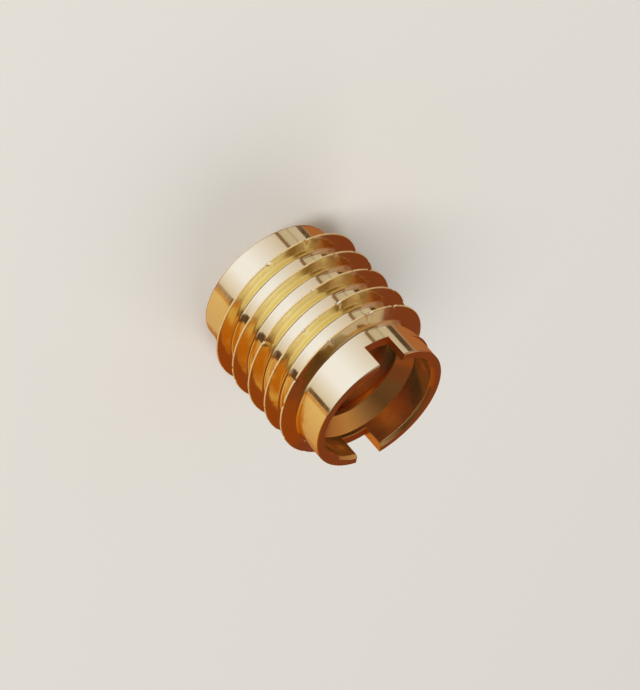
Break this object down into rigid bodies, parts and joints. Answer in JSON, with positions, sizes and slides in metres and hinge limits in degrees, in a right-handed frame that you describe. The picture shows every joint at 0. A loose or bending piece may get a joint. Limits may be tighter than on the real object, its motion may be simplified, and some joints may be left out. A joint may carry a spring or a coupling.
{
  "type": "threaded insert",
  "caption": "Brass threaded insert for wood: a turned sleeve with a sharp helical knife thread outside, a tapped hole right through it, and a counterbored end slotted for a driver.",
  "frame": {"origin": "centre of the plain end face, on the axis of the hole", "axes": "+Z along the axis, from the plain end towards the slotted end; the driver slot runs along X"},
  "size_m": [0.012, 0.012, 0.0127],
  "materials": {
    "brass": "bright turned brass with fine tool marks"
  },
  "bodies": {
    "root": {"insert": "brass"}
  },
  "joints": []
}
